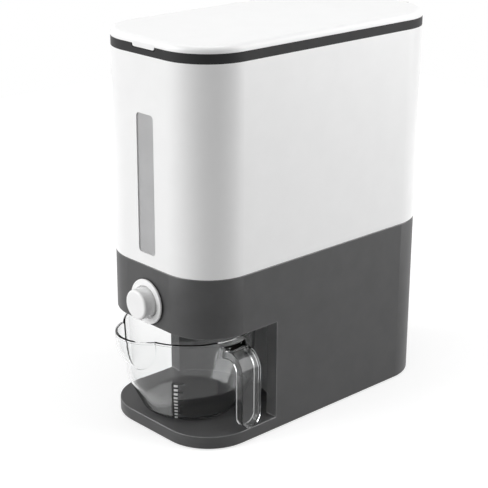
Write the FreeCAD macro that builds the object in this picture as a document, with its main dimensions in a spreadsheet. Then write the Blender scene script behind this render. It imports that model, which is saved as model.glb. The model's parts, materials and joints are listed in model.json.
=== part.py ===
import FreeCAD, Part
import math
import os
import Sketcher

# Press-button rice dispenser with a pull-out measuring jug, in millimetres.
# +Z is up, the front faces -Y, and the origin is the middle of the footprint on the floor.

# ---------------------------------------------------------------------------
# Driving dimensions
# ---------------------------------------------------------------------------

DIMENSIONS = {
    # housings
    "body_width": 166.0,
    "body_depth": 332.0,
    "corner_radius": 51.0,
    "base_height": 181.0,
    "shell_height": 208.5,
    "collar_height": 9.5,
    "lid_height": 7.4,
    "base_wall": 3.0,
    "shell_wall": 2.8,
    "fit_gap": 0.3,
    # base, bay and bottom cover
    "tray_height": 14.5,
    "head_height": 61.5,
    "bay_depth": 97.0,
    "niche_radius": 78.8,
    "jug_set_back": 59.0,
    "bottom_round": 1.6,
    "plate_thickness": 3.0,
    "plate_rise": 1.0,
    "foot_radius": 9.0,
    "foot_recess": 1.2,
    "foot_inset": 26.0,
    "boss_radius": 5.0,
    "boss_inset": 4.0,
    "screw_radius": 1.6,
    "screw_length": 12.0,
    "screw_head_radius": 3.2,
    "screw_head_height": 1.6,
    "thread_clearance": 0.05,
    "foot_clearance": 0.1,
    # hopper shell and window
    "skirt_depth": 7.0,
    "skirt_wall": 2.0,
    "seam_chamfer": 0.5,
    "ledge_height": 3.0,
    "window_width": 25.0,
    "window_height": 140.0,
    "window_sill": 12.5,
    "window_corner": 4.0,
    "pane_overlap": 3.2,
    "pane_flange": 1.2,
    "pane_set_back": 1.1,
    # collar, hinge and lid
    "collar_wall": 5.0,
    "collar_skirt": 8.0,
    "notch_width": 34.0,
    "notch_depth": 2.6,
    "notch_drop": 3.9,
    "hinge_radius": 4.1,
    "hinge_gap": 0.3,
    "hinge_rise": 1.0,
    "hinge_spread": 20.0,
    "knuckle_length": 7.0,
    "knuckle_gap": 0.4,
    "pin_radius": 2.0,
    "pin_clearance": 0.05,
    "lid_edge_round": 6.2,
    "lid_wall": 2.8,
    "lip_width": 32.0,
    "lip_corner": 2.4,
    "lip_height": 3.0,
    "lip_thickness": 2.2,
    "liner_drop": 8.0,
    "liner_gap": 2.0,
    "liner_wall": 2.0,
    "gasket_height": 2.4,
    "gasket_bite": 1.2,
    "gasket_seat": 2.2,
    # hopper floor
    "funnel_wall": 2.4,
    "outlet_length": 44.0,
    "outlet_width": 10.0,
    "neck_height": 5.0,
    "slope_rise": 130.0,
    "rear_slope_run": 270.0,
    "side_slope_run": 130.0,
    "front_slope_run": 175.0,
    # gate
    "gate_wall": 3.0,
    "shutter_thickness": 3.0,
    "shutter_margin": 4.0,
    "shutter_lap": 2.0,
    "seal_height": 1.6,
    "guide_thickness": 4.0,
    "guide_set_back": 25.0,
    "guide_half_width": 12.0,
    "ear_length": 9.0,
    "ear_width": 9.0,
    "ear_spacing": 28.0,
    "gate_boss_radius": 4.0,
    "gate_screw_length": 9.0,
    "chute_wall": 2.4,
    "chute_drop": 2.0,
    "chute_flange": 3.0,
    # button
    "button_rise": 24.5,
    "button_radius": 15.3,
    "button_reach": 16.4,
    "button_stroke": 12.0,
    "button_wall": 2.2,
    "button_edge_round": 2.6,
    "button_lip": 1.4,
    "button_lip_length": 2.0,
    "button_clearance": 0.35,
    "bezel_radius": 23.0,
    "bezel_proud": 3.5,
    "bezel_round": 1.0,
    "bezel_undercut": 1.6,
    "bezel_undercut_depth": 2.0,
    "groove_width": 1.4,
    "groove_depth": 2.4,
    "sleeve_wall": 1.6,
    "sleeve_length": 7.5,
    "rod_radius": 4.0,
    "rod_length": 26.0,
    "rod_boss_wall": 2.0,
    "rod_boss_length": 10.0,
    "spring_radius": 8.4,
    "spring_wire": 0.9,
    "spring_turns": 7.0,
    "tongue_width": 5.0,
    "tongue_length": 9.0,
    "cross_pin_radius": 1.0,
    # jug
    "jug_offset": -6.0,
    "jug_headroom": 13.5,
    "jug_rim_radius": 68.4,
    "jug_flat_radius": 45.2,
    "jug_heel_round": 7.0,
    "jug_shoulder_radius": 65.8,
    "jug_shoulder_height": 38.5,
    "jug_shoulder_round": 25.0,
    "jug_wall": 2.2,
    "jug_floor": 3.0,
    "jug_lift": 0.3,
    "rim_bead": 0.9,
    "rim_bead_height": 1.8,
    "spout_angle": 8.7,
    "spout_centre": 48.2,
    "spout_radius": 34.1,
    "spout_throat_centre": 48.0,
    "spout_throat_radius": 33.2,
    "spout_throat_drop": 16.0,
    "spout_foot_centre": 43.0,
    "spout_foot_radius": 18.0,
    "spout_height": 42.0,
    # jug handle
    "handle_reach": 24.6,
    "handle_top_drop": 8.0,
    "handle_bend": 22.0,
    "handle_width": 25.0,
    "handle_depth": 9.0,
    "handle_wall": 2.2,
    "handle_foot_clearance": 2.8,
    "handle_root_overlap": 12.0,
    "flare_width": 63.2,
    "flare_start": 3.6,
    "flare_reach": 19.4,
    "flare_curve": 16.0,
    "flare_flat": 26.0,
    "flare_round": 19.0,
}

DOC = FreeCAD.newDocument("rice_dispenser")


class Size:
    """A length: its present value and the spreadsheet expression that gives it."""

    def __init__(self, value, text):
        self.value = float(value)
        self.text = text

    def __add__(self, other):
        other = as_size(other)
        return Size(self.value + other.value, f"({self.text} + {other.text})")

    def __sub__(self, other):
        other = as_size(other)
        return Size(self.value - other.value, f"({self.text} - {other.text})")

    def __mul__(self, factor):
        factor = as_size(factor)
        return Size(self.value * factor.value, f"({self.text} * {factor.text})")

    def __truediv__(self, divisor):
        divisor = as_size(divisor)
        return Size(self.value / divisor.value, f"({self.text} / {divisor.text})")

    def __neg__(self):
        return Size(-self.value, f"(0 - {self.text})")


def as_size(number):
    """Let plain numbers take part in size sums."""
    if isinstance(number, Size):
        return number
    return Size(number, repr(float(number)))


def root_of_squares(long_side, short_side):
    """The other leg of a right triangle."""
    value = math.sqrt(long_side.value ** 2 - short_side.value ** 2)
    long_text, short_text = long_side.text, short_side.text
    return Size(value, f"sqrt({long_text} * {long_text} - {short_text} * {short_text})")


def make_sheet():
    """Write every driving dimension into the sheet and return them as sizes."""
    sheet = DOC.addObject("Spreadsheet::Sheet", "Dims")
    sizes = {}
    for row, (name, value) in enumerate(DIMENSIONS.items(), start=1):
        sheet.set(f"A{row}", name)
        sheet.set(f"B{row}", str(value))
        sheet.setAlias(f"B{row}", name)
        sizes[name] = Size(value, f"Dims.{name}")
    DOC.recompute()
    return sizes


D = make_sheet()

# Places shared by several pieces
ZERO = as_size(0.0)
HALF_WIDTH = D["body_width"] / 2
HALF_DEPTH = D["body_depth"] / 2
FRONT = -HALF_DEPTH
REAR = HALF_DEPTH
SEAM = D["base_height"]
COLLAR_FLOOR = SEAM + D["shell_height"]
LID_FLOOR = COLLAR_FLOOR + D["collar_height"]
TOP = LID_FLOOR + D["lid_height"]
HEAD_FLOOR = SEAM - D["head_height"]
BAY_BACK = FRONT + D["bay_depth"]
JUG_Y = FRONT + D["jug_set_back"]
HINGE_Y = REAR + D["hinge_radius"] + D["hinge_gap"]
HINGE_Z = LID_FLOOR + D["hinge_rise"]
BASE_INSET = D["base_wall"]
PLATE_TOP = D["plate_rise"] + D["plate_thickness"]


# ---------------------------------------------------------------------------
# Helpers: bodies, sketches and features
# ---------------------------------------------------------------------------

def new_body(label):
    body = DOC.addObject("PartDesign::Body", label)
    body.Label = label
    return body


def new_sketch(body, name, role, offset=ZERO):
    """A sketch on one of the body's origin planes, moved along its normal by offset."""
    sketch = body.newObject("Sketcher::SketchObject", name)
    planes = [item for item in body.Origin.OriginFeatures if item.Role == role]
    sketch.AttachmentSupport = [(planes[0], "")]
    sketch.MapMode = "FlatFace"
    sketch.setExpression("AttachmentOffset.Base.z", offset.text)
    return sketch


def tie(sketch, kind, *where, size):
    """Add one dimension to a sketch and bind it to its size."""
    index = sketch.addConstraint(Sketcher.Constraint(kind, *where, size.value))
    sketch.setExpression(f"Constraints[{index}]", size.text)


def arc_geometry(start, end, radius, clockwise):
    """The arc of a given radius, under half a turn, from one corner to the next."""
    first = FreeCAD.Vector(start[0], start[1], 0)
    last = FreeCAD.Vector(end[0], end[1], 0)
    chord = last - first
    height = math.sqrt(max(radius ** 2 - (chord.Length / 2) ** 2, 0.0))
    side = FreeCAD.Vector(-chord.y, chord.x, 0).normalize()
    centre = (first + last) * 0.5 + side * (-height if clockwise else height)
    if clockwise:
        first, last = last, first
    circle = Part.Circle(centre, FreeCAD.Vector(0, 0, 1), radius)
    low = math.atan2(first.y - centre.y, first.x - centre.x)
    high = math.atan2(last.y - centre.y, last.x - centre.x)
    return Part.ArcOfCircle(circle, low, high)


def trace(sketch, corners, arcs=None):
    """Draw a closed loop whose corners, and the radii of whose arcs, follow the sheet.

    arcs maps the number of an edge, counted from its first corner, to (radius, clockwise).
    """
    arcs = arcs or {}
    count = len(corners)
    corners = [(as_size(x), as_size(y)) for x, y in corners]
    first = sketch.GeometryCount
    ends = []
    for number in range(count):
        start, end = corners[number], corners[(number + 1) % count]
        start_xy = (start[0].value, start[1].value)
        end_xy = (end[0].value, end[1].value)
        if number in arcs:
            radius, clockwise = arcs[number]
            sketch.addGeometry(arc_geometry(start_xy, end_xy, radius.value, clockwise), False)
            ends.append((2, 1) if clockwise else (1, 2))
        else:
            edge = Part.LineSegment(FreeCAD.Vector(*start_xy, 0), FreeCAD.Vector(*end_xy, 0))
            sketch.addGeometry(edge, False)
            ends.append((1, 2))
    for number in range(count):
        following = (number + 1) % count
        here, there = first + number, first + following
        joint = Sketcher.Constraint("Coincident", here, ends[number][1], there, ends[following][0])
        sketch.addConstraint(joint)
    for number, (across, along) in enumerate(corners):
        tie(sketch, "DistanceX", -1, 1, first + number, ends[number][0], size=across)
        tie(sketch, "DistanceY", -1, 1, first + number, ends[number][0], size=along)
    for number, (radius, clockwise) in arcs.items():
        tie(sketch, "Radius", first + number, size=radius)


def rectangle(sketch, left, right, low, high):
    trace(sketch, [(left, low), (right, low), (right, high), (left, high)])


def rounded_rectangle(sketch, left, right, low, high, radius):
    corners = [
        (left + radius, low), (right - radius, low),
        (right, low + radius), (right, high - radius),
        (right - radius, high), (left + radius, high),
        (left, high - radius), (left, low + radius),
    ]
    trace(sketch, corners, {edge: (radius, False) for edge in (1, 3, 5, 7)})


def footprint(sketch, inset=ZERO):
    """The plan outline of the housings, moved inwards by inset."""
    across = HALF_WIDTH - inset
    along = HALF_DEPTH - inset
    radius = D["corner_radius"] - inset
    rounded_rectangle(sketch, -across, across, -along, along, radius)


def circle(sketch, across, along, radius):
    middle = FreeCAD.Vector(across.value, along.value, 0)
    shape = Part.Circle(middle, FreeCAD.Vector(0, 0, 1), radius.value)
    number = sketch.addGeometry(shape, False)
    tie(sketch, "DistanceX", -1, 1, number, 3, size=across)
    tie(sketch, "DistanceY", -1, 1, number, 3, size=along)
    tie(sketch, "Radius", number, size=radius)


def extrude(body, kind, name, sketch, length=None, reverse=False, midplane=False):
    """A pad or pocket of a sketch; with no length it goes through everything."""
    feature = body.newObject(f"PartDesign::{kind}", name)
    feature.Profile = sketch
    if length is None:
        feature.Type = "ThroughAll"
    else:
        feature.setExpression("Length", length.text)
    feature.Reversed = reverse
    feature.Midplane = midplane
    sketch.Visibility = False
    DOC.recompute()
    check_feature(feature)
    return feature


def pad(body, name, sketch, length, **options):
    return extrude(body, "Pad", name, sketch, length, **options)


def pocket(body, name, sketch, length=None, **options):
    before = body.Shape.Volume
    feature = extrude(body, "Pocket", name, sketch, length, **options)
    if body.Shape.Volume >= before:
        raise RuntimeError(f"{body.Label}: {name} removes nothing")
    return feature


def revolve(body, kind, name, sketch, axis):
    feature = body.newObject(f"PartDesign::{kind}", name)
    feature.Profile = sketch
    feature.ReferenceAxis = (sketch, [axis])
    feature.Angle = 360
    DOC.recompute()
    check_feature(feature)
    return feature


def loft(body, kind, name, sketches, ruled=True):
    feature = body.newObject(f"PartDesign::{kind}", name)
    feature.Profile = sketches[0]
    feature.Sections = sketches[1:]
    feature.Ruled = ruled
    DOC.recompute()
    check_feature(feature)
    return feature


def edges_at(shape, axis, value):
    """Names of the edges that lie wholly at one coordinate."""
    names = []
    for number, edge in enumerate(shape.Edges, start=1):
        box = edge.BoundBox
        low, high = (getattr(box, axis + end) for end in ("Min", "Max"))
        if abs(low - value) < 1e-4 and abs(high - value) < 1e-4:
            names.append(f"Edge{number}")
    return names


def dress(body, kind, name, base, edges, size):
    """A fillet or chamfer on named edges of the feature below it."""
    feature = body.newObject(f"PartDesign::{kind}", name)
    feature.Base = (base, edges)
    feature.setExpression("Radius" if kind == "Fillet" else "Size", size.text)
    DOC.recompute()
    check_feature(feature)
    return feature


def check_feature(feature):
    if "Invalid" in feature.State or "Error" in feature.State:
        raise RuntimeError(f"{feature.Label} is {feature.State}")


def place(item, across=ZERO, along=ZERO, up=ZERO):
    for axis, size in zip("xyz", (across, along, up)):
        item.setExpression(f"Placement.Base.{axis}", size.text)


def cylinder(name, radius, height, across=ZERO, along=ZERO, up=ZERO):
    item = DOC.addObject("Part::Cylinder", name)
    item.setExpression("Radius", radius.text)
    item.setExpression("Height", height.text)
    place(item, across, along, up)
    return item


def compound(label, items):
    group = DOC.addObject("Part::Compound", label)
    group.Label = label
    group.Links = items
    return group


# ---------------------------------------------------------------------------
# Base: housing, bottom cover, feet and screws
# ---------------------------------------------------------------------------

BOSS_X = HALF_WIDTH - BASE_INSET - D["boss_inset"]
BOSS_END_Y = HALF_DEPTH - D["corner_radius"]
BOSSES = [(side, along) for along in (BOSS_END_Y, ZERO, -BOSS_END_Y) for side in (-BOSS_X, BOSS_X)]
FOOT_X = HALF_WIDTH - D["foot_inset"]
FOOT_Y = HALF_DEPTH - D["foot_inset"]
FEET = [(-FOOT_X, -FOOT_Y), (FOOT_X, -FOOT_Y), (ZERO, ZERO), (-FOOT_X, FOOT_Y), (FOOT_X, FOOT_Y)]
CAVITY_FLOOR = HEAD_FLOOR + D["base_wall"]

# Gate: the shutter slides at the height of the button
BUTTON_Z = HEAD_FLOOR + D["button_rise"]
SHUTTER_Z = BUTTON_Z
CHANNEL_HALF_HEIGHT = D["shutter_thickness"] / 2 + D["fit_gap"]
GATE_FLOOR = SHUTTER_Z - CHANNEL_HALF_HEIGHT - D["gate_wall"]
GATE_TOP = SHUTTER_Z + CHANNEL_HALF_HEIGHT + D["gate_wall"]
NECK_BOTTOM = GATE_TOP + D["seal_height"]
NECK_TOP = NECK_BOTTOM + D["neck_height"]
OUTLET_X = D["outlet_length"] / 2
OUTLET_Y = D["outlet_width"] / 2
SHUTTER_X = OUTLET_X + D["shutter_margin"]
GATE_X = SHUTTER_X + D["fit_gap"] + D["gate_wall"]
EAR_X = GATE_X + D["ear_length"] / 2
EARS = [
    (side, JUG_Y + step)
    for step in (-D["ear_spacing"] / 2, D["ear_spacing"] / 2)
    for side in (-EAR_X, EAR_X)
]
CHUTE_X = OUTLET_X + D["chute_wall"]
CHUTE_Y = OUTLET_Y + D["chute_wall"]

# Spring: straight runs to a turn, sides of its wire, and mitred corners between the runs
SPRING_STEPS = 14
WIRE_SIDES = 6
RIGHT_CORNER = 1

# Button: bore, sleeve and the hole that takes the sleeve
BUTTON_BORE = D["button_radius"] + D["button_clearance"]
SLEEVE_RADIUS = BUTTON_BORE + D["sleeve_wall"]


def base_housing():
    """Dark moulding: tray and head joined by the rear tower, with the jug bay between."""
    body = new_body("base_housing")
    outline = new_sketch(body, "base_outline", "XY_Plane", D["plate_rise"])
    footprint(outline)
    block = pad(body, "base_block", outline, SEAM - D["plate_rise"])
    lower_edges = edges_at(block.Shape, "Z", D["plate_rise"].value)
    dress(body, "Fillet", "base_lower_edge", block, lower_edges, D["bottom_round"])

    cavity = new_sketch(body, "head_cavity_outline", "XY_Plane", SEAM)
    footprint(cavity, BASE_INSET)
    pocket(body, "head_cavity", cavity, SEAM - CAVITY_FLOOR)

    bay = new_sketch(body, "bay_side", "YZ_Plane")
    rectangle(bay, FRONT - D["base_wall"], BAY_BACK, D["tray_height"], HEAD_FLOOR)
    pocket(body, "bay", bay, D["body_width"] + D["base_wall"], midplane=True)
    niche = new_sketch(body, "niche_plan", "XY_Plane", D["tray_height"])
    circle(niche, ZERO, JUG_Y, D["niche_radius"])
    pocket(body, "niche", niche, HEAD_FLOOR - D["tray_height"], reverse=True)

    tower = new_sketch(body, "tower_cavity_plan", "XY_Plane", CAVITY_FLOOR)
    tower_cavity_plan(tower)
    pocket(body, "tower_cavity", tower)
    recess = new_sketch(body, "plate_recess_outline", "XY_Plane", D["plate_rise"])
    footprint(recess, BASE_INSET)
    recess_height = D["tray_height"] - D["base_wall"] - D["plate_rise"]
    pocket(body, "plate_recess", recess, recess_height, reverse=True)

    base_bosses(body)
    base_openings(body)
    return body


def tower_cavity_plan(sketch):
    """Inside of the rear tower: the footprint behind the bay, bent round the niche."""
    across = HALF_WIDTH - BASE_INSET
    along = HALF_DEPTH - BASE_INSET
    corner = D["corner_radius"] - BASE_INSET
    front = BAY_BACK + D["base_wall"]
    bend = D["niche_radius"] + D["base_wall"]
    bend_half = root_of_squares(bend, front - JUG_Y)
    corners = [
        (bend_half, front), (across, front), (across, along - corner),
        (across - corner, along), (corner - across, along), (-across, along - corner),
        (-across, front), (-bend_half, front),
    ]
    trace(sketch, corners, {2: (corner, False), 4: (corner, False), 7: (bend, True)})


def base_bosses(body):
    """Bosses for the cover screws, and taller ones that carry the gate housing."""
    cover = new_sketch(body, "cover_boss_plan", "XY_Plane", PLATE_TOP)
    pilots = new_sketch(body, "cover_pilot_plan", "XY_Plane", PLATE_TOP)
    for across, along in BOSSES:
        circle(cover, across, along, D["boss_radius"])
        circle(pilots, across, along, D["screw_radius"] + D["thread_clearance"])
    boss_height = D["tray_height"] - PLATE_TOP - D["base_wall"] / 2
    pad(body, "cover_bosses", cover, boss_height)
    pocket(body, "cover_pilots", pilots, boss_height, reverse=True)

    posts = new_sketch(body, "gate_boss_plan", "XY_Plane", HEAD_FLOOR + D["base_wall"] / 2)
    bores = new_sketch(body, "gate_pilot_plan", "XY_Plane", GATE_FLOOR)
    for across, along in EARS:
        circle(posts, across, along, D["gate_boss_radius"])
        circle(bores, across, along, D["screw_radius"] + D["thread_clearance"])
    pad(body, "gate_bosses", posts, GATE_FLOOR - HEAD_FLOOR - D["base_wall"] / 2)
    pocket(body, "gate_pilots", bores, D["gate_screw_length"])


def base_openings(body):
    """The round hole for the bezel's sleeve and the slot for the outlet chute."""
    hole = new_sketch(body, "bezel_hole_face", "XZ_Plane", HALF_DEPTH)
    circle(hole, ZERO, BUTTON_Z, SLEEVE_RADIUS + D["fit_gap"] / 2)
    pocket(body, "bezel_hole", hole, D["base_wall"] * 2)
    slot = new_sketch(body, "chute_slot_plan", "XY_Plane", CAVITY_FLOOR)
    across = CHUTE_X + D["fit_gap"]
    along = CHUTE_Y + D["fit_gap"]
    rectangle(slot, -across, across, JUG_Y - along, JUG_Y + along)
    pocket(body, "chute_slot", slot, D["base_wall"] * 2)


def base_plate():
    body = new_body("base_plate")
    outline = new_sketch(body, "plate_outline", "XY_Plane", D["plate_rise"])
    footprint(outline, BASE_INSET + D["fit_gap"])
    pad(body, "plate", outline, D["plate_thickness"])
    seats = new_sketch(body, "foot_seat_plan", "XY_Plane", D["plate_rise"])
    for across, along in FEET:
        circle(seats, across, along, D["foot_radius"] + D["foot_clearance"])
    pocket(body, "foot_seats", seats, D["foot_recess"], reverse=True)
    holes = new_sketch(body, "plate_hole_plan", "XY_Plane", D["plate_rise"])
    sinks = new_sketch(body, "head_sink_plan", "XY_Plane", D["plate_rise"])
    for across, along in BOSSES:
        circle(holes, across, along, D["screw_radius"] + D["fit_gap"])
        circle(sinks, across, along, D["screw_head_radius"] + D["fit_gap"])
    pocket(body, "plate_holes", holes, D["plate_thickness"], reverse=True)
    pocket(body, "head_sinks", sinks, D["screw_head_height"], reverse=True)
    return body


def rubber_feet():
    height = D["plate_rise"] + D["foot_recess"]
    pads = [
        cylinder(f"foot_{number}", D["foot_radius"], height, across, along)
        for number, (across, along) in enumerate(FEET, start=1)
    ]
    return compound("rubber_feet", pads)


def screw(name, across, along, head_floor, shank_floor, shank_length):
    """One pan-head screw standing along Z: a head disc fused to its shank."""
    head = cylinder(
        f"{name}_head", D["screw_head_radius"], D["screw_head_height"], across, along, head_floor)
    shank = cylinder(
        f"{name}_shank", D["screw_radius"], shank_length, across, along, shank_floor)
    whole = DOC.addObject("Part::Fuse", name)
    whole.Base = head
    whole.Tool = shank
    return whole


def base_screws():
    """Screws pushed up through the bottom cover into the housing's bosses."""
    length = PLATE_TOP - D["plate_rise"] + D["tray_height"] / 2 - D["plate_thickness"]
    items = [
        screw(f"cover_screw_{number}", across, along, D["plate_rise"], D["plate_rise"], length)
        for number, (across, along) in enumerate(BOSSES, start=1)
    ]
    return compound("base_screws", items)


# ---------------------------------------------------------------------------
# Hopper: shell, window, collar and sloped floor
# ---------------------------------------------------------------------------

SILL = SEAM + D["window_sill"]
WINDOW_TOP = SILL + D["window_height"]
WINDOW_X = D["window_width"] / 2


def window_outline(sketch, grow):
    corner = D["window_corner"] + grow
    rounded_rectangle(
        sketch, -WINDOW_X - grow, WINDOW_X + grow, SILL - grow, WINDOW_TOP + grow, corner)


def hopper_shell():
    """White wall of the rice bin, with a skirt that plugs into the base."""
    body = new_body("hopper_shell")
    outline = new_sketch(body, "shell_outline", "XY_Plane", SEAM)
    footprint(outline)
    block = pad(body, "shell_block", outline, D["shell_height"])
    lower_edges = edges_at(block.Shape, "Z", SEAM.value)
    dress(body, "Chamfer", "seam_groove", block, lower_edges, D["seam_chamfer"])
    inside = new_sketch(body, "shell_inside", "XY_Plane", COLLAR_FLOOR)
    footprint(inside, D["shell_wall"])
    pocket(body, "shell_cavity", inside)

    skirt_inset = BASE_INSET + D["fit_gap"]
    ledge = new_sketch(body, "ledge_ring", "XY_Plane", SEAM)
    footprint(ledge, D["shell_wall"] / 2)
    footprint(ledge, skirt_inset + D["skirt_wall"])
    pad(body, "ledge", ledge, D["ledge_height"])
    skirt = new_sketch(body, "skirt_ring", "XY_Plane", SEAM - D["skirt_depth"])
    footprint(skirt, skirt_inset)
    footprint(skirt, skirt_inset + D["skirt_wall"])
    pad(body, "skirt", skirt, D["skirt_depth"] + D["ledge_height"] / 2)

    window = new_sketch(body, "window_face", "XZ_Plane", HALF_DEPTH)
    window_outline(window, ZERO)
    pocket(body, "window", window, D["shell_wall"] * 2)
    rebate = new_sketch(body, "rebate_face", "XZ_Plane", HALF_DEPTH - D["shell_wall"])
    window_outline(rebate, D["pane_overlap"] + D["fit_gap"])
    pocket(body, "window_rebate", rebate, D["pane_flange"], reverse=True)
    return body


def window_pane():
    """Clear pane: a flange behind the wall and a raised centre inside the slot."""
    body = new_body("window_pane")
    flange = new_sketch(body, "pane_flange_face", "XZ_Plane", HALF_DEPTH - D["shell_wall"])
    window_outline(flange, D["pane_overlap"])
    pad(body, "flange", flange, D["pane_flange"])
    centre = new_sketch(body, "pane_centre_face", "XZ_Plane", HALF_DEPTH - D["shell_wall"])
    window_outline(centre, -D["fit_gap"] / 2)
    pad(body, "centre", centre, D["shell_wall"] - D["pane_set_back"])
    return body


def knuckle(body, name, start, length, leaf):
    """A hinge barrel along X with the leaf that joins it to its part."""
    barrel = new_sketch(body, f"{name}_barrel", "YZ_Plane", start)
    circle(barrel, HINGE_Y, HINGE_Z, D["hinge_radius"])
    pad(body, f"{name}_round", barrel, length)
    plate = new_sketch(body, f"{name}_leaf", "YZ_Plane", start)
    rectangle(plate, *leaf)
    pad(body, f"{name}_plate", plate, length)


def pin_bore(body):
    bore = new_sketch(body, "pin_bore_face", "YZ_Plane")
    circle(bore, HINGE_Y, HINGE_Z, D["pin_radius"] + D["pin_clearance"])
    pocket(body, "pin_bore", bore, D["body_width"], midplane=True)


def rim_collar():
    """Dark band that closes the bin's rim, with the fixed hinge knuckles behind."""
    body = new_body("rim_collar")
    band = new_sketch(body, "band_ring", "XY_Plane", COLLAR_FLOOR)
    footprint(band)
    footprint(band, D["collar_wall"])
    pad(body, "band", band, D["collar_height"])
    skirt = new_sketch(body, "collar_skirt_ring", "XY_Plane", COLLAR_FLOOR - D["collar_skirt"])
    footprint(skirt, D["shell_wall"] + D["fit_gap"])
    footprint(skirt, D["collar_wall"])
    pad(body, "collar_skirt", skirt, D["collar_skirt"] + D["collar_height"] / 2)

    notch = new_sketch(body, "notch_face", "XZ_Plane", HALF_DEPTH)
    half = D["notch_width"] / 2
    floor = LID_FLOOR - D["notch_drop"]
    rounded_rectangle(
        notch, -half, half, floor, LID_FLOOR + D["collar_height"], D["lip_corner"])
    pocket(body, "lip_notch", notch, D["notch_depth"])

    leaf = (REAR - D["collar_wall"] / 2, HINGE_Y, COLLAR_FLOOR + D["hinge_gap"], LID_FLOOR)
    leaf = leaf[:3] + (LID_FLOOR - D["hinge_gap"],)
    for side, centre in (("left", -D["hinge_spread"]), ("right", D["hinge_spread"])):
        step = D["knuckle_length"] / 2 + D["knuckle_gap"]
        outer = centre - step - D["knuckle_length"]
        knuckle(body, f"{side}_outer", outer, D["knuckle_length"], leaf)
        knuckle(body, f"{side}_inner", centre + step, D["knuckle_length"], leaf)
    pin_bore(body)
    return body


def hinge_pins():
    length = D["knuckle_length"] * 3 + D["knuckle_gap"] * 2
    pins = []
    for name, centre in (("left_pin", -D["hinge_spread"]), ("right_pin", D["hinge_spread"])):
        pin = cylinder(name, D["pin_radius"], length)
        pin.Placement.Rotation = FreeCAD.Rotation(FreeCAD.Vector(0, 1, 0), 90)
        place(pin, centre - length / 2, HINGE_Y, HINGE_Z)
        pins.append(pin)
    return compound("hinge_pins", pins)


def slope_rectangle(sketch, side, front, rear):
    """Mouth of the sloped floor at one level, measured outwards from the outlet."""
    across = OUTLET_X + side
    rectangle(sketch, -across, across, JUG_Y - OUTLET_Y - front, JUG_Y + OUTLET_Y + rear)


def slope_loft(body, kind, name, floor):
    low = new_sketch(body, f"{name}_low", "XY_Plane", floor)
    slope_rectangle(low, ZERO, ZERO, ZERO)
    high = new_sketch(body, f"{name}_high", "XY_Plane", floor + D["slope_rise"])
    slope_rectangle(high, D["side_slope_run"], D["front_slope_run"], D["rear_slope_run"])
    loft(body, kind, name, [low, high])


def hopper_funnel():
    """Sloped floor of the bin: four planes that lead down to the outlet neck."""
    slopes = new_body("funnel_slopes")
    slope_loft(slopes, "AdditiveLoft", "slope_outside", NECK_TOP - D["funnel_wall"])
    neck = new_sketch(slopes, "neck_outside", "XY_Plane", NECK_BOTTOM)
    across = OUTLET_X + D["funnel_wall"]
    along = OUTLET_Y + D["funnel_wall"]
    rectangle(neck, -across, across, JUG_Y - along, JUG_Y + along)
    pad(slopes, "neck", neck, D["neck_height"])
    slope_loft(slopes, "SubtractiveLoft", "slope_inside", NECK_TOP)
    bore = new_sketch(slopes, "neck_inside", "XY_Plane", NECK_TOP + D["funnel_wall"])
    slope_rectangle(bore, ZERO, ZERO, ZERO)
    pocket(slopes, "neck_bore", bore)

    room = new_body("funnel_room")
    outline = new_sketch(room, "room_outline", "XY_Plane", NECK_BOTTOM)
    footprint(outline, D["shell_wall"] + D["fit_gap"])
    pad(room, "room", outline, D["neck_height"] + D["slope_rise"] - D["funnel_wall"])
    funnel = DOC.addObject("Part::Common", "hopper_funnel")
    funnel.Label = "hopper_funnel"
    funnel.Base = slopes
    funnel.Tool = room
    return funnel


# ---------------------------------------------------------------------------
# Gate under the funnel
# ---------------------------------------------------------------------------

WINDOW_FRONT = JUG_Y - OUTLET_Y - D["button_stroke"]
PLATE_FRONT = WINDOW_FRONT - D["shutter_margin"]
PLATE_REAR = JUG_Y + OUTLET_Y + D["shutter_lap"]
GATE_FRONT = PLATE_FRONT - D["gate_wall"]
CHANNEL_REAR = PLATE_REAR + D["button_stroke"] + D["fit_gap"]
GUIDE_FRONT = FRONT + D["guide_set_back"]
GUIDE_REAR = GUIDE_FRONT + D["guide_thickness"]


def funnel_seal():
    body = new_body("funnel_seal")
    ring = new_sketch(body, "seal_ring", "XY_Plane", GATE_TOP)
    wide, deep = OUTLET_X + D["funnel_wall"], OUTLET_Y + D["funnel_wall"]
    rectangle(ring, -wide, wide, JUG_Y - deep, JUG_Y + deep)
    slope_rectangle(ring, ZERO, ZERO, ZERO)
    pad(body, "seal", ring, D["seal_height"])
    return body


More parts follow.
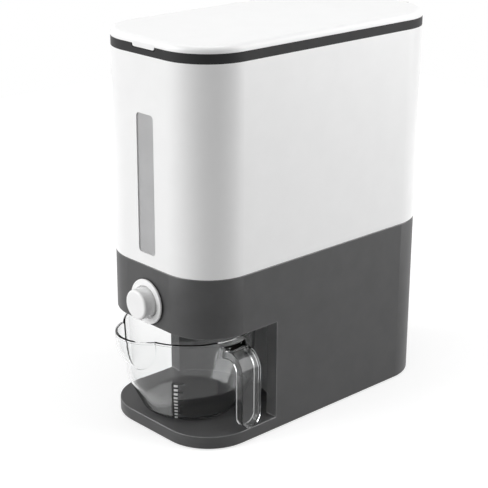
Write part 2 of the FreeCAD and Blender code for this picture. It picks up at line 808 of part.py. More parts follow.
def gate_housing():
    """Block under the funnel neck that guides the shutter, with four screw ears."""
    body = new_body("gate_housing")
    plan = new_sketch(body, "gate_plan", "XY_Plane", GATE_FLOOR)
    rectangle(plan, -GATE_X, GATE_X, GATE_FRONT, CHANNEL_REAR + D["gate_wall"])
    pad(body, "gate_block", plan, GATE_TOP - GATE_FLOOR)
    shelf = new_sketch(body, "gate_shelf_plan", "XY_Plane", GATE_FLOOR)
    half = D["guide_half_width"]
    rectangle(shelf, -half, half, GUIDE_FRONT, GATE_FRONT + D["gate_wall"])
    pad(body, "gate_shelf", shelf, D["gate_wall"])
    guide = new_sketch(body, "guide_plan", "XY_Plane", GATE_FLOOR)
    rectangle(guide, -half, half, GUIDE_FRONT, GUIDE_REAR)
    pad(body, "guide_wall", guide, GATE_TOP - GATE_FLOOR)
    ears = new_sketch(body, "ear_plan", "XY_Plane", GATE_FLOOR)
    ear_half = D["ear_width"] / 2
    outer = GATE_X + D["ear_length"]
    for step in (-D["ear_spacing"] / 2, D["ear_spacing"] / 2):
        rectangle(ears, -outer, outer, JUG_Y + step - ear_half, JUG_Y + step + ear_half)
    pad(body, "ears", ears, D["gate_wall"])

    channel = new_sketch(body, "channel_face", "XZ_Plane", -GATE_FRONT)
    wide = SHUTTER_X + D["fit_gap"]
    low, high = SHUTTER_Z - CHANNEL_HALF_HEIGHT, SHUTTER_Z + CHANNEL_HALF_HEIGHT
    rectangle(channel, -wide, wide, low, high)
    pocket(body, "channel", channel, CHANNEL_REAR - GATE_FRONT)
    tongue = new_sketch(body, "tongue_slot_face", "XZ_Plane", -GUIDE_FRONT)
    reach = D["tongue_width"] / 2 + D["fit_gap"]
    rectangle(tongue, -reach, reach, low, high)
    pocket(body, "tongue_slot", tongue, D["guide_thickness"])
    mouth = new_sketch(body, "gate_mouth_plan", "XY_Plane", GATE_TOP)
    slope_rectangle(mouth, ZERO, ZERO, ZERO)
    pocket(body, "gate_mouth", mouth)
    holes = new_sketch(body, "ear_hole_plan", "XY_Plane", GATE_TOP)
    for across, along in EARS:
        circle(holes, across, along, D["screw_radius"] + D["fit_gap"])
    pocket(body, "ear_holes", holes)
    return body


def gate_screws():
    ear_top = GATE_FLOOR + D["gate_wall"]
    length = D["gate_screw_length"]
    items = [
        screw(f"gate_screw_{number}", across, along, ear_top, ear_top - length, length)
        for number, (across, along) in enumerate(EARS, start=1)
    ]
    return compound("gate_screws", items)


def outlet_chute():
    """Spout through the head floor, held by a flange that lies on it."""
    body = new_body("outlet_chute")
    floor = HEAD_FLOOR - D["chute_drop"]
    tube = new_sketch(body, "chute_plan", "XY_Plane", floor)
    rectangle(tube, -CHUTE_X, CHUTE_X, JUG_Y - CHUTE_Y, JUG_Y + CHUTE_Y)
    pad(body, "chute_tube", tube, GATE_FLOOR - floor)
    rim = new_sketch(body, "chute_flange_plan", "XY_Plane", CAVITY_FLOOR)
    wide, deep = CHUTE_X + D["chute_flange"], CHUTE_Y + D["chute_flange"]
    rectangle(rim, -wide, wide, JUG_Y - deep, JUG_Y + deep)
    pad(body, "chute_flange", rim, D["chute_wall"])
    bore = new_sketch(body, "chute_bore_plan", "XY_Plane", GATE_FLOOR)
    slope_rectangle(bore, ZERO, ZERO, ZERO)
    pocket(body, "chute_bore", bore)
    return body


# ---------------------------------------------------------------------------
# Button and shutter
# ---------------------------------------------------------------------------

BUTTON_FACE = FRONT - D["button_reach"]
CAP_INSIDE = BUTTON_FACE + D["button_wall"]
ROD_END = CAP_INSIDE + D["rod_length"]
TONGUE_FRONT = ROD_END - D["tongue_length"]
PIN_Y = ROD_END - D["tongue_length"] / 2


def turned_body(label, corners, arcs):
    """A part turned about the button's axis; corners are (place along Y, radius)."""
    body = new_body(label)
    profile = new_sketch(body, f"{label}_profile", "YZ_Plane")
    trace(profile, corners, arcs)
    revolve(body, "Revolution", f"{label}_turning", profile, "H_Axis")
    place(body, up=BUTTON_Z)
    return body


def button_bezel():
    """Ring round the cap: a groove on its inner edge, a shadow gap behind it and a sleeve."""
    face = FRONT - D["bezel_proud"]
    groove_floor = face + D["groove_depth"]
    groove_radius = BUTTON_BORE + D["groove_width"]
    gap = FRONT - D["bezel_undercut"]
    seat_radius = D["bezel_radius"] - D["bezel_undercut_depth"]
    sleeve_end = FRONT + D["sleeve_length"]
    corners = [
        (groove_floor, BUTTON_BORE), (groove_floor, groove_radius), (face, groove_radius),
        (face, D["bezel_radius"] - D["bezel_round"]),
        (face + D["bezel_round"], D["bezel_radius"]), (gap, D["bezel_radius"]),
        (gap, seat_radius), (FRONT, seat_radius), (FRONT, SLEEVE_RADIUS),
        (sleeve_end, SLEEVE_RADIUS), (sleeve_end, BUTTON_BORE),
    ]
    return turned_body("button_bezel", corners, {3: (D["bezel_round"], True)})


def button_cap():
    """Hollow cap with a rounded edge, a rod socket inside and a retaining lip."""
    radius, inner = D["button_radius"], D["button_radius"] - D["button_wall"]
    lip_start = FRONT + D["sleeve_length"] + D["fit_gap"]
    lip_end = lip_start + D["button_lip_length"]
    lip_radius = radius + D["button_lip"]
    boss_radius = D["rod_radius"] + D["rod_boss_wall"]
    boss_end = CAP_INSIDE + D["rod_boss_length"]
    bore = D["rod_radius"] + D["thread_clearance"]
    corners = [
        (BUTTON_FACE, ZERO), (BUTTON_FACE, radius - D["button_edge_round"]),
        (BUTTON_FACE + D["button_edge_round"], radius), (lip_start, radius),
        (lip_start, lip_radius), (lip_end, lip_radius), (lip_end, inner), (CAP_INSIDE, inner),
        (CAP_INSIDE, boss_radius), (boss_end, boss_radius), (boss_end, bore),
        (CAP_INSIDE, bore), (CAP_INSIDE, ZERO),
    ]
    return turned_body("button_cap", corners, {1: (D["button_edge_round"], True)})


def push_rod():
    """Round rod with a slotted end that takes the shutter's tongue."""
    body = new_body("push_rod")
    end = new_sketch(body, "rod_section", "XZ_Plane", -ROD_END)
    circle(end, ZERO, BUTTON_Z, D["rod_radius"])
    pad(body, "rod", end, D["rod_length"])
    slot = new_sketch(body, "rod_slot_face", "XZ_Plane", -ROD_END)
    wide = D["tongue_width"] / 2 + D["thread_clearance"]
    high = D["shutter_thickness"] / 2 + D["thread_clearance"]
    rectangle(slot, -wide, wide, SHUTTER_Z - high, SHUTTER_Z + high)
    pocket(body, "rod_slot", slot, D["tongue_length"] + D["fit_gap"], reverse=True)
    bore = new_sketch(body, "rod_pin_plan", "XY_Plane", BUTTON_Z + D["rod_radius"])
    circle(bore, ZERO, PIN_Y, D["cross_pin_radius"] + D["thread_clearance"])
    pocket(body, "rod_pin_bore", bore)
    return body


def cross_pin():
    bottom = BUTTON_Z - D["rod_radius"]
    pin = cylinder(
        "cross_pin", D["cross_pin_radius"], D["rod_radius"] * 2, ZERO, PIN_Y, bottom)
    pin.Label = "cross_pin"
    return pin


def shutter_plate():
    """Flat shutter with a window that meets the outlet when the button is pressed."""
    body = new_body("shutter_plate")
    floor = SHUTTER_Z - D["shutter_thickness"] / 2
    plan = new_sketch(body, "shutter_plan", "XY_Plane", floor)
    rectangle(plan, -SHUTTER_X, SHUTTER_X, PLATE_FRONT, PLATE_REAR)
    pad(body, "shutter", plan, D["shutter_thickness"])
    tongue = new_sketch(body, "tongue_plan", "XY_Plane", floor)
    half = D["tongue_width"] / 2
    rectangle(tongue, -half, half, TONGUE_FRONT, PLATE_FRONT + D["shutter_margin"] / 2)
    pad(body, "tongue", tongue, D["shutter_thickness"])
    window = new_sketch(body, "shutter_window_plan", "XY_Plane", floor)
    back = WINDOW_FRONT + D["outlet_width"]
    rectangle(window, -OUTLET_X, OUTLET_X, WINDOW_FRONT, back)
    pocket(body, "shutter_window", window, D["shutter_thickness"], reverse=True)
    bore = new_sketch(body, "tongue_pin_plan", "XY_Plane", floor)
    circle(bore, ZERO, PIN_Y, D["cross_pin_radius"] + D["thread_clearance"])
    pocket(body, "tongue_pin_bore", bore, D["shutter_thickness"], reverse=True)
    return body


def return_spring():
    """Coil spring round the rod, from the cap's inside to the guide wall."""
    wire = D["spring_wire"].value
    radius = D["spring_radius"].value
    start = CAP_INSIDE.value + wire / 2
    length = GUIDE_FRONT.value - CAP_INSIDE.value - wire
    steps = int(D["spring_turns"].value * SPRING_STEPS)
    points = []
    for step in range(steps + 1):
        turn = 2 * math.pi * step / SPRING_STEPS
        points.append(FreeCAD.Vector(
            radius * math.cos(turn), start + length * step / steps, radius * math.sin(turn)))
    path = Part.makePolygon(points)
    ahead = points[1] - points[0]
    section = Part.makePolygon(wire_section(points[0], ahead, wire / 2))
    coil = path.makePipeShell([section], True, True, RIGHT_CORNER)
    spring = DOC.addObject("Part::Feature", "return_spring")
    spring.Label = "return_spring"
    spring.Shape = coil
    place(spring, up=BUTTON_Z)
    return spring


def wire_section(centre, ahead, radius):
    """Closed polygon round the wire, square to its run."""
    ahead.normalize()
    side = ahead.cross(FreeCAD.Vector(0, 1, 0)).normalize()
    above = side.cross(ahead)
    corners = []
    for number in range(WIRE_SIDES + 1):
        turn = 2 * math.pi * number / WIRE_SIDES
        corners.append(centre + side * (radius * math.cos(turn)) + above * (radius * math.sin(turn)))
    return corners


# ---------------------------------------------------------------------------
# Lid
# ---------------------------------------------------------------------------

LID_INSIDE = TOP - D["lid_wall"]
LINER_INSET = D["collar_wall"] + D["liner_gap"]
LINER_FLOOR = LID_FLOOR - D["liner_drop"]
GASKET_FLOOR = LINER_FLOOR + D["gasket_seat"]


def lid_cover():
    """Flat lid with a rounded top edge, a finger lip in front and hinge knuckles."""
    body = new_body("lid_cover")
    outline = new_sketch(body, "lid_outline", "XY_Plane", LID_FLOOR)
    footprint(outline)
    block = pad(body, "lid_block", outline, D["lid_height"])
    top_edges = edges_at(block.Shape, "Z", TOP.value)
    dress(body, "Fillet", "lid_edge", block, top_edges, D["lid_edge_round"])
    inside = new_sketch(body, "lid_inside", "XY_Plane", LID_FLOOR)
    footprint(inside, D["lid_wall"])
    pocket(body, "lid_cavity", inside, LID_INSIDE - LID_FLOOR, reverse=True)
    lip = new_sketch(body, "lip_face", "XZ_Plane", HALF_DEPTH)
    half = D["lip_width"] / 2
    low = LID_FLOOR - D["lip_height"]
    high = LID_FLOOR + D["lip_corner"] * 2 - D["lip_height"] + D["fit_gap"]
    rounded_rectangle(lip, -half, half, low, high, D["lip_corner"])
    pad(body, "finger_lip", lip, D["lip_thickness"], reverse=True)
    leaf_low = HINGE_Z + D["hinge_gap"]
    leaf_high = HINGE_Z + D["hinge_radius"]
    leaf = (REAR - D["lid_wall"], HINGE_Y, leaf_low, leaf_high)
    for side, centre in (("left", -D["hinge_spread"]), ("right", D["hinge_spread"])):
        start = centre - D["knuckle_length"] / 2
        knuckle(body, f"lid_{side}", start, D["knuckle_length"], leaf)
    pin_bore(body)
    return body


def lid_liner():
    """Plug under the lid: a flat tray that drops into the mouth of the bin."""
    body = new_body("lid_liner")
    outline = new_sketch(body, "liner_outline", "XY_Plane", LINER_FLOOR)
    footprint(outline, LINER_INSET)
    pad(body, "liner_block", outline, LID_INSIDE - LINER_FLOOR)
    inside = new_sketch(body, "liner_inside", "XY_Plane", LID_INSIDE)
    footprint(inside, LINER_INSET + D["liner_wall"])
    pocket(body, "liner_cavity", inside, LID_INSIDE - LINER_FLOOR - D["liner_wall"])
    groove = new_sketch(body, "gasket_groove_ring", "XY_Plane", GASKET_FLOOR)
    footprint(groove, LINER_INSET - D["gasket_bite"])
    footprint(groove, LINER_INSET + D["gasket_bite"])
    pocket(body, "gasket_groove", groove, D["gasket_height"], reverse=True)
    return body


def lid_gasket():
    body = new_body("lid_gasket")
    ring = new_sketch(body, "gasket_ring", "XY_Plane", GASKET_FLOOR)
    footprint(ring, D["collar_wall"] + D["fit_gap"])
    footprint(ring, LINER_INSET + D["gasket_bite"])
    pad(body, "gasket", ring, D["gasket_height"])
    return body


# ---------------------------------------------------------------------------
# Measuring jug
# ---------------------------------------------------------------------------

JUG_X = D["jug_offset"]
JUG_FOOT = D["tray_height"] + D["jug_lift"]
JUG_RIM = HEAD_FLOOR - D["jug_headroom"]


def turned_arm(length, angle):
    """A vector of one length at an angle from the sketch's first axis."""
    return FreeCAD.Vector(length * math.cos(angle), length * math.sin(angle), 0)


def jug_profile(sketch, inset, floor, rise):
    """Half section of the jug: flat bottom, heel, cone, shoulder and a wall that flares.

    inset thins every radius, floor is the height of the bottom and rise lifts the top edge.
    """
    flat = D["jug_flat_radius"]
    heel_radius = D["jug_heel_round"] - inset
    shoulder_radius = D["jug_shoulder_round"] - inset
    wall_radius = D["jug_shoulder_radius"] - inset
    wall_height = D["tray_height"] + D["jug_shoulder_height"]
    rim_radius = D["jug_rim_radius"] - inset
    top = JUG_RIM + rise
    wall_foot = FreeCAD.Vector(wall_radius.value, wall_height.value, 0)
    wall_top = FreeCAD.Vector(rim_radius.value, top.value, 0)
    wall_angle = -math.atan2(wall_top.x - wall_foot.x, wall_top.y - wall_foot.y)
    heel_middle = FreeCAD.Vector(flat.value, floor.value + heel_radius.value, 0)
    shoulder_middle = wall_foot - turned_arm(shoulder_radius.value, wall_angle)
    between = shoulder_middle - heel_middle
    lean = math.acos((heel_radius.value - shoulder_radius.value) / between.Length)
    cone_angle = math.atan2(between.y, between.x) - lean
    cone_foot = heel_middle + turned_arm(heel_radius.value, cone_angle)
    cone_top = shoulder_middle + turned_arm(shoulder_radius.value, cone_angle)
    up = FreeCAD.Vector(0, 0, 1)
    heel_circle = Part.Circle(heel_middle, up, heel_radius.value)
    shoulder_circle = Part.Circle(shoulder_middle, up, shoulder_radius.value)
    axis_top, axis_foot = FreeCAD.Vector(0, top.value, 0), FreeCAD.Vector(0, floor.value, 0)
    shapes = [
        Part.LineSegment(axis_top, axis_foot),
        Part.LineSegment(axis_foot, FreeCAD.Vector(flat.value, floor.value, 0)),
        Part.ArcOfCircle(heel_circle, -math.pi / 2, cone_angle),
        Part.LineSegment(cone_foot, cone_top),
        Part.ArcOfCircle(shoulder_circle, cone_angle, wall_angle),
        Part.LineSegment(wall_foot, wall_top),
        Part.LineSegment(wall_top, axis_top),
    ]
    for shape in shapes:
        sketch.addGeometry(shape, False)
    axis, bottom, heel, cone, shoulder, wall, mouth = range(len(shapes))
    for first, last in ((axis, bottom), (wall, mouth), (mouth, axis)):
        sketch.addConstraint(Sketcher.Constraint("Coincident", first, 2, last, 1))
    for first, last in ((bottom, heel), (heel, cone), (cone, shoulder), (shoulder, wall)):
        sketch.addConstraint(Sketcher.Constraint("Tangent", first, 2, last, 1))
    sketch.addConstraint(Sketcher.Constraint("Vertical", axis))
    sketch.addConstraint(Sketcher.Constraint("Horizontal", bottom))
    sketch.addConstraint(Sketcher.Constraint("Horizontal", mouth))
    tie(sketch, "DistanceX", -1, 1, axis, 1, size=ZERO)
    tie(sketch, "DistanceY", -1, 1, axis, 1, size=top)
    tie(sketch, "DistanceY", -1, 1, axis, 2, size=floor)
    tie(sketch, "DistanceX", -1, 1, bottom, 2, size=flat)
    tie(sketch, "Radius", heel, size=heel_radius)
    tie(sketch, "Radius", shoulder, size=shoulder_radius)
    tie(sketch, "DistanceX", -1, 1, wall, 1, size=wall_radius)
    tie(sketch, "DistanceY", -1, 1, wall, 1, size=wall_height)
    tie(sketch, "DistanceX", -1, 1, wall, 2, size=rim_radius)


def spout_sketches(body, name, shrink):
    """The pouring lip: a round bay at the rim and throat that narrows into the wall below."""
    stations = [
        ("low", D["spout_height"], D["spout_foot_centre"], D["spout_foot_radius"]),
        ("throat", D["spout_throat_drop"], D["spout_throat_centre"], D["spout_throat_radius"]),
        ("high", ZERO, D["spout_centre"], D["spout_radius"]),
    ]
    sketches = []
    for station, drop, centre, radius in stations:
        sketch = new_sketch(body, f"{name}_{station}", "XY_Plane", JUG_RIM - drop)
        circle(sketch, ZERO, -centre, radius - shrink)
        sketches.append(sketch)
    return sketches


def turn_to_spout(body):
    """Stand the jug in its place and turn its lip towards the front left."""
    axis = FreeCAD.Vector(0, 0, -1)
    body.Placement.Rotation = FreeCAD.Rotation(axis, D["spout_angle"].value)
    body.setExpression("Placement.Rotation.Angle", D["spout_angle"].text)
    place(body, JUG_X, JUG_Y)


def jug_outside(body):
    wall = new_sketch(body, "jug_outside_profile", "XZ_Plane")
    jug_profile(wall, ZERO, JUG_FOOT, ZERO)
    revolve(body, "Revolution", "jug_outside", wall, "V_Axis")
    bead = new_sketch(body, "rim_bead_plan", "XY_Plane", JUG_RIM - D["rim_bead_height"])
    circle(bead, ZERO, ZERO, D["jug_rim_radius"] + D["rim_bead"])
    pad(body, "rim_bead", bead, D["rim_bead_height"])


def jug_body():
    """Clear cup: turned wall, lofted pouring lip and a bead round the rim."""
    body = new_body("jug_body")
    jug_outside(body)
    outside = spout_sketches(body, "spout_outside", ZERO)
    loft(body, "AdditiveLoft", "spout_outside", outside, ruled=False)
    bead = new_sketch(body, "spout_bead_plan", "XY_Plane", JUG_RIM - D["rim_bead_height"])
    circle(bead, ZERO, -D["spout_centre"], D["spout_radius"] + D["rim_bead"])
    pad(body, "spout_bead", bead, D["rim_bead_height"])

    inside = new_sketch(body, "jug_inside_profile", "XZ_Plane")
    jug_profile(inside, D["jug_wall"], JUG_FOOT + D["jug_floor"], D["jug_wall"])
    revolve(body, "Groove", "jug_inside", inside, "V_Axis")
    hollow = spout_sketches(body, "spout_inside", D["jug_wall"])
    loft(body, "SubtractiveLoft", "spout_inside", hollow, ruled=False)
    turn_to_spout(body)
    return body


HANDLE_OUT = JUG_X + D["jug_rim_radius"] + D["handle_reach"]
HANDLE_TOP = JUG_RIM - D["handle_top_drop"]
HANDLE_FOOT = D["tray_height"] + D["handle_foot_clearance"]
HANDLE_HALF = D["handle_width"] / 2
HANDLE_CENTRE = HANDLE_FOOT + HANDLE_HALF
HANDLE_ROOT = JUG_X + D["jug_rim_radius"] - D["handle_root_overlap"]
FLARE_START = HANDLE_ROOT + D["flare_start"]
FLARE_END = HANDLE_ROOT + D["flare_reach"]


def handle_band(sketch, outer, inner, foot):
    """Side view of the hooked strap, between two distances from its outer face."""
    bend_x = HANDLE_OUT - D["handle_bend"]
    bend_z = HANDLE_TOP - D["handle_bend"]
    corners = [
        (HANDLE_ROOT, HANDLE_TOP - outer), (bend_x, HANDLE_TOP - outer),
        (HANDLE_OUT - outer, bend_z), (HANDLE_OUT - outer, foot),
        (HANDLE_OUT - inner, foot), (HANDLE_OUT - inner, bend_z),
        (bend_x, HANDLE_TOP - inner), (HANDLE_ROOT, HANDLE_TOP - inner),
    ]
    arcs = {1: (D["handle_bend"] - outer, True), 5: (D["handle_bend"] - inner, False)}
    trace(sketch, corners, arcs)


def flare_plan(sketch, side, spare):
    """The part of the flare's block that is cut away beside the strap, on one side."""
    edge = HANDLE_HALF * side
    wide = D["flare_width"] / 2 * side
    beyond = wide + spare * side
    corners = [(FLARE_END, edge), (FLARE_END, beyond), (FLARE_START, beyond), (FLARE_START, wide)]
    trace(sketch, corners, {3: (D["flare_curve"], side < 0)})


def handle_root(body):
    """Flare that spreads the strap up to the rim where it meets the jug wall."""
    floor = HANDLE_TOP - D["handle_depth"]
    top = JUG_RIM - D["rim_bead_height"]
    half, flat = D["flare_width"] / 2, D["flare_flat"] / 2
    face = new_sketch(body, "flare_face", "YZ_Plane", HANDLE_ROOT)
    corners = [(-flat, floor), (flat, floor), (half, top), (-half, top)]
    trace(face, corners, {1: (D["flare_round"], False), 3: (D["flare_round"], False)})
    pad(body, "flare", face, D["flare_reach"])
    plan = new_sketch(body, "flare_sides_plan", "XY_Plane", top)
    flare_plan(plan, -1, D["handle_wall"])
    flare_plan(plan, 1, D["handle_wall"])
    pocket(body, "flare_sides", plan)
    slope = new_sketch(body, "flare_slope_side", "XZ_Plane")
    trace(slope, [(HANDLE_ROOT, top), (FLARE_END, HANDLE_TOP), (FLARE_END, top)])
    pocket(body, "flare_slope", slope, D["flare_width"] + D["handle_wall"] * 2, midplane=True)


def flare_hollow(body):
    """Open space under the flare, one wall inside its sides."""
    half = D["flare_width"] / 2
    edge = HANDLE_HALF - D["handle_wall"]
    start = FLARE_START - D["handle_wall"]
    plan = new_sketch(body, "flare_hollow_plan", "XY_Plane", HANDLE_TOP - D["handle_wall"])
    corners = [
        (HANDLE_ROOT, -half), (start, -half), (FLARE_END, -edge),
        (FLARE_END, edge), (start, half), (HANDLE_ROOT, half),
    ]
    curve = D["flare_curve"] + D["handle_wall"]
    trace(plan, corners, {1: (curve, True), 3: (curve, True)})
    pocket(body, "flare_hollow", plan, D["handle_depth"])


def jug_handle():
    """Hooked strap of channel section, open at the bottom, with a round lower end."""
    body = new_body("handle_strap")
    strap = new_sketch(body, "strap_side", "XZ_Plane")
    handle_band(strap, ZERO, D["handle_depth"], HANDLE_FOOT - D["handle_wall"])
    pad(body, "strap", strap, D["handle_width"], midplane=True)
    handle_root(body)

    spare = D["handle_wall"]
    end = new_sketch(body, "strap_end_face", "YZ_Plane", HANDLE_OUT + spare)
    side, low = HANDLE_HALF + spare, HANDLE_FOOT - spare * 2
    corners = [
        (-side, low), (side, low), (side, HANDLE_CENTRE), (HANDLE_HALF, HANDLE_CENTRE),
        (ZERO, HANDLE_FOOT), (-HANDLE_HALF, HANDLE_CENTRE), (-side, HANDLE_CENTRE),
    ]
    trace(end, corners, {3: (HANDLE_HALF, True), 4: (HANDLE_HALF, True)})
    pocket(body, "strap_end", end, D["handle_depth"] + spare * 2)

    channel = new_sketch(body, "strap_channel_side", "XZ_Plane")
    handle_band(channel, D["handle_wall"], D["handle_depth"] + spare, HANDLE_CENTRE)
    pocket(body, "strap_channel", channel, D["handle_width"] - spare * 2, midplane=True)
    bowl = new_sketch(
        body, "strap_bowl_face", "YZ_Plane", HANDLE_OUT - D["handle_depth"] - spare)
    circle(bowl, ZERO, HANDLE_CENTRE, HANDLE_HALF - spare)
    pocket(body, "strap_bowl", bowl, D["handle_depth"], reverse=True)
    flare_hollow(body)
    place(body, along=JUG_Y)

    blank = new_body("jug_blank")
    jug_outside(blank)
    turn_to_spout(blank)
    handle = DOC.addObject("Part::Cut", "jug_handle")
    handle.Label = "jug_handle"
    handle.Base = body
    handle.Tool = blank
    return handle


# ---------------------------------------------------------------------------
# Build, check and write every piece
# ---------------------------------------------------------------------------

PIECES = [
    base_housing, base_plate, rubber_feet, base_screws,
    hopper_shell, window_pane, rim_collar, hinge_pins, hopper_funnel,
    funnel_seal, gate_housing, gate_screws, outlet_chute,
    button_bezel, button_cap, push_rod, cross_pin, shutter_plate, return_spring,
    lid_cover, lid_liner, lid_gasket,
    jug_body, jug_handle,
]


def check_document():
    for item in DOC.Objects:
        if "Invalid" in item.State or "Error" in item.State:
            raise RuntimeError(f"{item.Label} is {item.State}")


def write_piece(piece):
    shape = piece.Shape
    if shape.isNull() or not shape.isValid() or shape.Volume <= 0:
        raise RuntimeError(f"{piece.Label} has no valid solid")
    shape.exportStep(os.path.join("parts", f"{piece.Label}.step"))
    print(f"{piece.Label}: {len(shape.Solids)} solid(s), {shape.Volume / 1000:.2f} cm3")


def main():
    pieces = [make() for make in PIECES]
    DOC.recompute()
    check_document()
    os.makedirs("parts", exist_ok=True)
    for piece in pieces:
        write_piece(piece)


main()
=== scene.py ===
import json
import math

import bmesh
import bpy
from mathutils import Matrix, Vector


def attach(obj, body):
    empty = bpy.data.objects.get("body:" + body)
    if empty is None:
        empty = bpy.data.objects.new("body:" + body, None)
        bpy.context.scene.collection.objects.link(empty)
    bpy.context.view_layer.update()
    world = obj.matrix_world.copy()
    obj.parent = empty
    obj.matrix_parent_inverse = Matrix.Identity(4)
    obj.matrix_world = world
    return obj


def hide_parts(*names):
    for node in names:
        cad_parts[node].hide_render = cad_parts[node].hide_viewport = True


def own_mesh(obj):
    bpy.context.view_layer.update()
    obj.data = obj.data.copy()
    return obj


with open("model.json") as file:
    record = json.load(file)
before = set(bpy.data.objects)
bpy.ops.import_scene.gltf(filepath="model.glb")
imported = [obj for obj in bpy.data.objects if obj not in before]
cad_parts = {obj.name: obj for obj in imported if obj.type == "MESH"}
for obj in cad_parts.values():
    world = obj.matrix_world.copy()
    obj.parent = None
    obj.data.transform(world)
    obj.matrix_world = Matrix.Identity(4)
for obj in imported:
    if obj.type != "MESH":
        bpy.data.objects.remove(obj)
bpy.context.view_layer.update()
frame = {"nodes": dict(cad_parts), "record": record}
NODES = frame["nodes"]
MM = 0.001
WHITE_LIGHT = (1.0, 1.0, 1.0, 1.0)


# ---------------------------------------------------------------------------
# Shared helpers
# ---------------------------------------------------------------------------

def towards(azimuth, elevation):
    """Unit vector from the object to a viewer at this azimuth and elevation, in degrees."""
    az, el = math.radians(azimuth), math.radians(elevation)
    return Vector((math.sin(az) * math.cos(el), -math.cos(az) * math.cos(el), math.sin(el)))


def new_object(name, data):
    obj = bpy.data.objects.new(name, data)
    bpy.context.scene.collection.objects.link(obj)
    return obj


def paint(obj, material):
    obj.data.materials.clear()
    obj.data.materials.append(material)


def new_piece(name, mesh, material):
    """A painted object from a finished bmesh, which is used up."""
    data = bpy.data.meshes.new(name)
    mesh.to_mesh(data)
    mesh.free()
    obj = new_object(name, data)
    paint(obj, material)
    return obj


def new_node(tree, kind, **values):
    """A shader node with plain values in the sockets of these names."""
    node = tree.nodes.new(kind)
    for name, value in values.items():
        node.inputs[name.replace("_", " ")].default_value = value
    return node


# ---------------------------------------------------------------------------
# Camera, fitted to the photograph: degrees, metres, and millimetres of lens
# ---------------------------------------------------------------------------

VIEW_AZIMUTH = 47.0379
VIEW_ELEVATION = 19.7693
VIEW_ROLL = 0.2602
VIEW_AIM = Vector((0.0465297, -0.0805518, 0.1954303))
VIEW_DISTANCE = 1.3624692
VIEW_LENS = 101.4986
SENSOR = 36.0
NEAREST, FARTHEST = 0.05, 30.0


def make_camera():
    back = towards(VIEW_AZIMUTH, VIEW_ELEVATION)
    level = Vector((0, 0, 1)).cross(back).normalized()
    above = back.cross(level)
    roll = math.radians(VIEW_ROLL)
    right = level * math.cos(roll) + above * math.sin(roll)
    up = above * math.cos(roll) - level * math.sin(roll)
    data = bpy.data.cameras.new("view_camera")
    data.lens = VIEW_LENS
    data.sensor_width = SENSOR
    data.clip_start = NEAREST
    data.clip_end = FARTHEST
    camera = new_object("view_camera", data)
    turn = Matrix((right, up, back)).transposed()
    camera.matrix_world = Matrix.Translation(VIEW_AIM + back * VIEW_DISTANCE) @ turn.to_4x4()
    bpy.context.scene.camera = camera


# ---------------------------------------------------------------------------
# Materials: noise scales are per metre, depths of relief in metres
# ---------------------------------------------------------------------------

class Shader:
    """One node material round a Principled shader, with textures in object coordinates."""

    def __init__(self, name):
        self.material = bpy.data.materials.new(name)
        self.material.use_nodes = True
        self.tree = self.material.node_tree
        self.main = self.tree.nodes["Principled BSDF"]
        self.place = new_node(self.tree, "ShaderNodeTexCoord").outputs["Object"]

    def set(self, **values):
        """Plain values on the Principled shader."""
        for name, value in values.items():
            self.main.inputs[name.replace("_", " ")].default_value = value

    def feed(self, socket, output):
        self.tree.links.new(output, self.main.inputs[socket])

    def noise(self, scale, detail=3.0, rough=0.55, stretch=None):
        node = new_node(
            self.tree, "ShaderNodeTexNoise", Scale=scale, Detail=detail, Roughness=rough)
        source = self.place
        if stretch:
            mapping = new_node(self.tree, "ShaderNodeMapping", Scale=stretch)
            self.tree.links.new(source, mapping.inputs["Vector"])
            source = mapping.outputs["Vector"]
        self.tree.links.new(source, node.inputs["Vector"])
        return node.outputs["Fac"]

    def ramp(self, factor, low, high, start=0.35, end=0.65):
        """A colour between low and high."""
        node = new_node(self.tree, "ShaderNodeValToRGB")
        elements = node.color_ramp.elements
        elements[0].position = start
        elements[1].position = end
        elements[0].color = (*low, 1.0)
        elements[1].color = (*high, 1.0)
        self.tree.links.new(factor, node.inputs["Fac"])
        return node.outputs["Color"]

    def spread(self, factor, low, high, start=0.3, end=0.7):
        """A value between low and high."""
        node = new_node(
            self.tree, "ShaderNodeMapRange",
            From_Min=start, From_Max=end, To_Min=low, To_Max=high)
        self.tree.links.new(factor, node.inputs["Value"])
        return node.outputs["Result"]

    def bump(self, height, strength, distance):
        node = new_node(self.tree, "ShaderNodeBump", Strength=strength, Distance=distance)
        self.tree.links.new(height, node.inputs["Height"])
        self.feed("Normal", node.outputs["Normal"])


def grey(value, blue=0.0):
    """A neutral colour, with its blue a little higher or lower where that is given."""
    return (value, value, value + blue)


def moulded(name, dark, light, rough, grain, depth, level=0.5):
    """Injection-moulded plastic: faint flow mottling, uneven gloss and a fine grain."""
    shader = Shader(name)
    mottle = shader.noise(scale=38.0, detail=4.0, rough=0.6)
    shader.feed("Base Color", shader.ramp(mottle, dark, light))
    gloss = shader.noise(scale=30.0, detail=1.0, rough=0.5)
    shader.feed("Roughness", shader.spread(gloss, *rough))
    fine = shader.noise(scale=grain, detail=2.0, rough=0.6)
    shader.bump(fine, strength=0.35, distance=depth)
    shader.set(IOR=1.5, Specular_IOR_Level=level)
    return shader.material


def clear_plastic(name, tint, rough):
    """Polished clear plastic with a very slight waviness from the mould."""
    shader = Shader(name)
    shader.set(
        Base_Color=(*tint, 1.0), IOR=1.36, Transmission_Weight=1.0, Specular_IOR_Level=0.25)
    shader.feed("Roughness", shader.spread(shader.noise(scale=90.0), *rough))
    wave = shader.noise(scale=28.0, detail=2.0, rough=0.4)
    shader.bump(wave, strength=0.25, distance=0.00002)
    return shader.material


